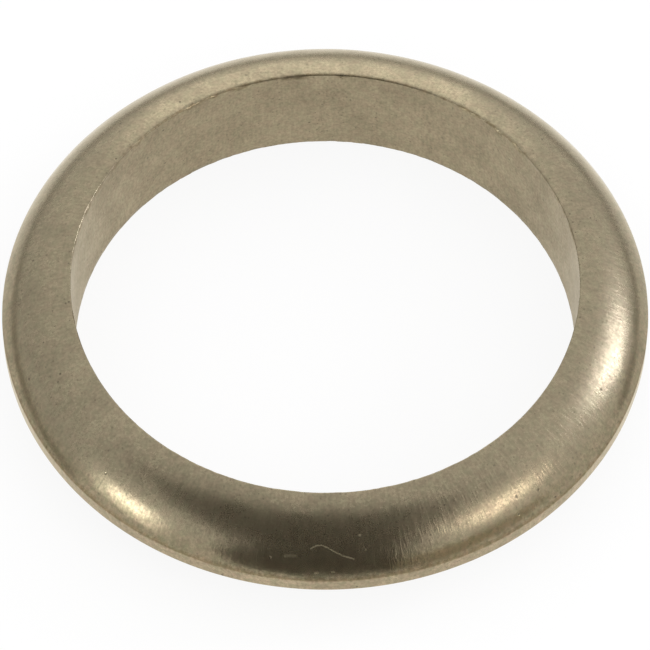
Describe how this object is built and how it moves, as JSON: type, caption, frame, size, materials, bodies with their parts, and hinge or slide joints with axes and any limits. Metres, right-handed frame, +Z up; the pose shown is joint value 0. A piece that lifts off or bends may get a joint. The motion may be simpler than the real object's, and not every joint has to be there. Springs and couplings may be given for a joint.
{
  "type": "exhaust gasket",
  "caption": "Ring-shaped metal gasket with rounded seat faces above and below and a straight bore, clamped between flared exhaust pipe ends to seal the joint.",
  "frame": {"origin": "on the ring's axis, at the level that the lower crest rests on when the ring lies flat", "axes": "+Z up along the bore axis; +X and +Y lie in the plane of the ring, which is alike all round"},
  "size_m": [0.065, 0.065, 0.0115],
  "materials": {
    "sintered_metal": "fine matte grain, burnished on the domes"
  },
  "bodies": {
    "root": {"gasket_ring": "sintered_metal"}
  },
  "joints": []
}
